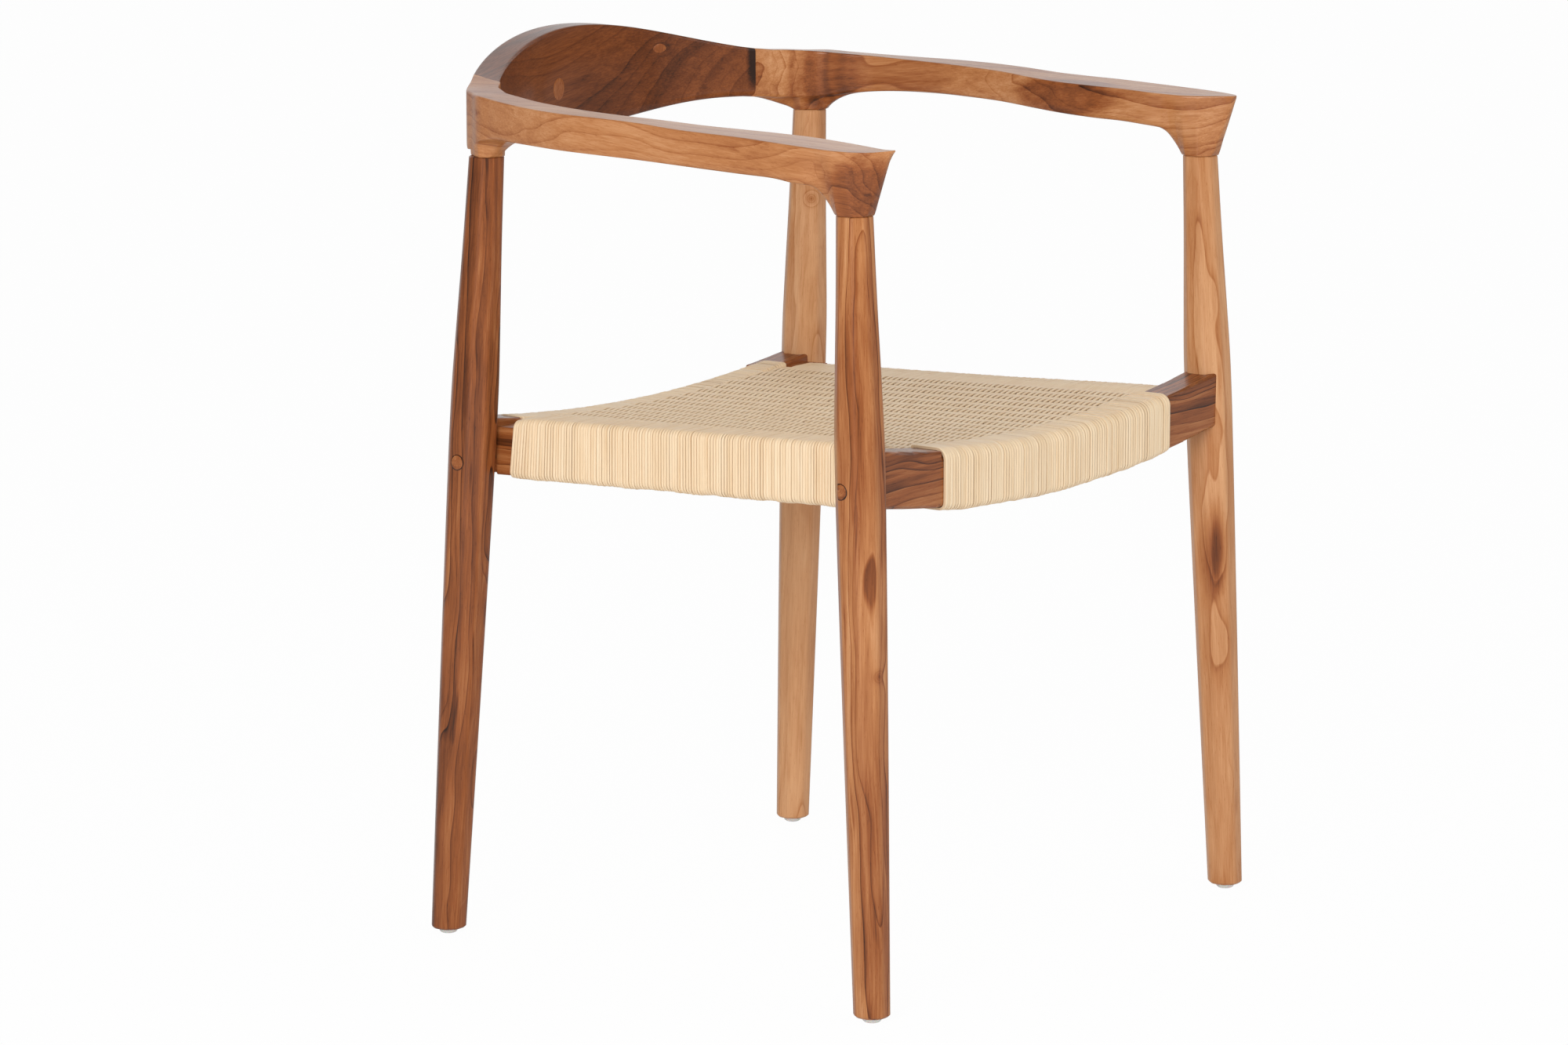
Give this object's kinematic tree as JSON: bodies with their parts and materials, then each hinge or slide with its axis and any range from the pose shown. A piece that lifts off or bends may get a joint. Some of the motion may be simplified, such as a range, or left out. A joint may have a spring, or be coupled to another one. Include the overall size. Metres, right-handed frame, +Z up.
{
  "type": "armchair",
  "caption": "Teak armchair with splayed tapered legs, a curved arm and back rail, and a dished seat of woven rattan cane.",
  "frame": {"origin": "on the floor, under the middle of the whole chair", "axes": "+Z up, -Y towards the chair's front, +X to the right seen from the front"},
  "size_m": [0.5714, 0.5432, 0.752],
  "materials": {
    "teak": "satin lacquered teak",
    "plug": "pale teak filler",
    "dowel": "plain hardwood",
    "rattan": "peeled rattan cane",
    "glide": "translucent white",
    "steel": "plain"
  },
  "bodies": {
    "root": {"front_right_leg": "teak", "front_right_glide": "glide", "front_right_glide_nail": "steel", "front_right_rail_dowel": "dowel", "front_right_peg": "teak", "front_left_leg": "teak", "front_left_glide": "glide", "front_left_glide_nail": "steel", "front_left_rail_dowel": "dowel", "front_left_peg": "teak", "front_seat_rail": "teak", "front_wrap": "rattan", "rear_right_leg": "teak", "rear_right_glide": "glide", "rear_right_glide_nail": "steel", "rear_right_rail_dowel": "dowel", "rear_right_peg": "teak", "rear_left_leg": "teak", "rear_left_glide": "glide", "rear_left_glide_nail": "steel", "rear_left_rail_dowel": "dowel", "rear_left_peg": "teak", "rear_seat_rail": "teak", "rear_wrap": "rattan", "right_side_rail": "teak", "right_wrap": "rattan", "right_arm": "teak", "right_lower_back_dowel": "dowel", "right_upper_back_dowel": "dowel", "right_plug": "plug", "left_side_rail": "teak", "left_wrap": "rattan", "left_arm": "teak", "left_lower_back_dowel": "dowel", "left_upper_back_dowel": "dowel", "left_plug": "plug", "cane_tacks": "steel", "seat_panel": "rattan", "under_weave": "rattan", "backrest": "teak"}
  },
  "joints": []
}
